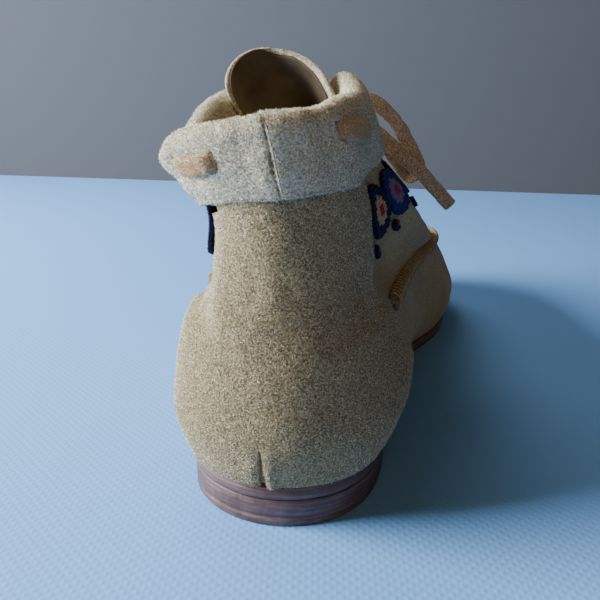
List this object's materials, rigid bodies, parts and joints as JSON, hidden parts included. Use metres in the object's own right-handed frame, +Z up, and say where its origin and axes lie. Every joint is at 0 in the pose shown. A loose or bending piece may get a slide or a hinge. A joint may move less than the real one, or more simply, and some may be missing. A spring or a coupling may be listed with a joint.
{
  "type": "moccasin ankle boot",
  "caption": "Left suede moccasin ankle boot, unlined, with a low heel, turned-down laced cuff, gathered apron seam and flower bands.",
  "frame": {"origin": "middle of the heel's flat underside, on the floor", "axes": "+Y along the foot from heel to toe, +Z up, +X to the inner (medial) side of the left foot"},
  "size_m": [0.1019, 0.2585, 0.1382],
  "materials": {
    "sole_leather": "scuffed, dark brown, low gloss",
    "cream_suede": "smooth suede, matte",
    "rough_suede": "rough-out suede, matte",
    "cuff_suede": "brushed rough suede, matte",
    "lace_suede": "flat suede lace, matte",
    "beadwork": "close rows of small beads, navy ground with flowers",
    "insole_leather": "smooth board, matte"
  },
  "bodies": {
    "root": {"heel_lift": "sole_leather", "outsole": "sole_leather", "insole": "insole_leather", "upper": "cream_suede", "tongue": "rough_suede", "back_panel": "rough_suede", "bead_band_lateral": "beadwork", "bead_band_medial": "beadwork", "apron_seam": "cream_suede", "cuff_lateral": "cuff_suede", "cuff_medial": "cuff_suede", "lace_run": "lace_suede", "lace_knot": "lace_suede", "lace_loop_medial": "lace_suede", "lace_end_medial": "lace_suede", "lace_loop_lateral": "lace_suede", "lace_end_lateral": "lace_suede"}
  },
  "joints": []
}
